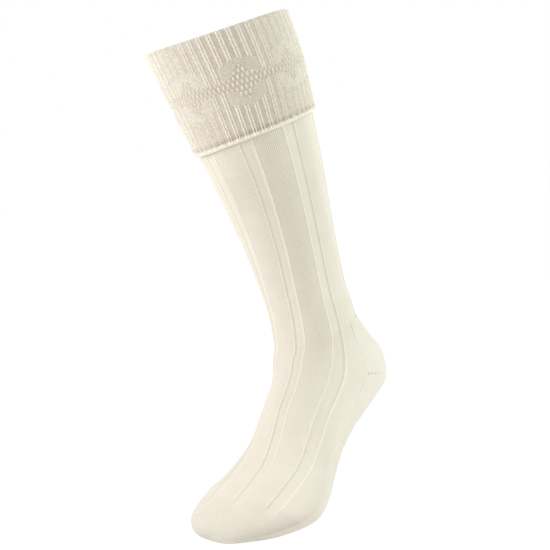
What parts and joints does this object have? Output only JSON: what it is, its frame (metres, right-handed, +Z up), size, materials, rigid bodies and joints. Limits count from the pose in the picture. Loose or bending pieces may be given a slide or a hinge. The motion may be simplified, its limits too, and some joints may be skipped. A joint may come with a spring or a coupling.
{
  "type": "kilt hose sock",
  "caption": "Knee-length ribbed knitted kilt sock with a turned-over diamond-patterned cuff, keeping its worn form.",
  "frame": {"origin": "centre of the top opening, level with the rim of the turned cuff", "axes": "+Z up the leg and out of the opening, toes towards -Y, +X towards the outer side of a left foot"},
  "size_m": [0.1288, 0.272, 0.3833],
  "materials": {
    "cuff_knit": "matt cream two-and-two rib knit with a moss-stitch diamond band",
    "leg_knit": "matt cream wide-rib knit, plain panels and sunk purl strips",
    "heel_knit": "matt cream plain knit with a gore line",
    "foot_knit": "matt cream knit, wide rib on the instep and plain on the sole",
    "toe_knit": "matt cream plain knit"
  },
  "bodies": {
    "root": {"turnover_cuff": "cuff_knit", "leg": "leg_knit", "heel": "heel_knit", "foot": "foot_knit", "toe": "toe_knit"}
  },
  "joints": []
}
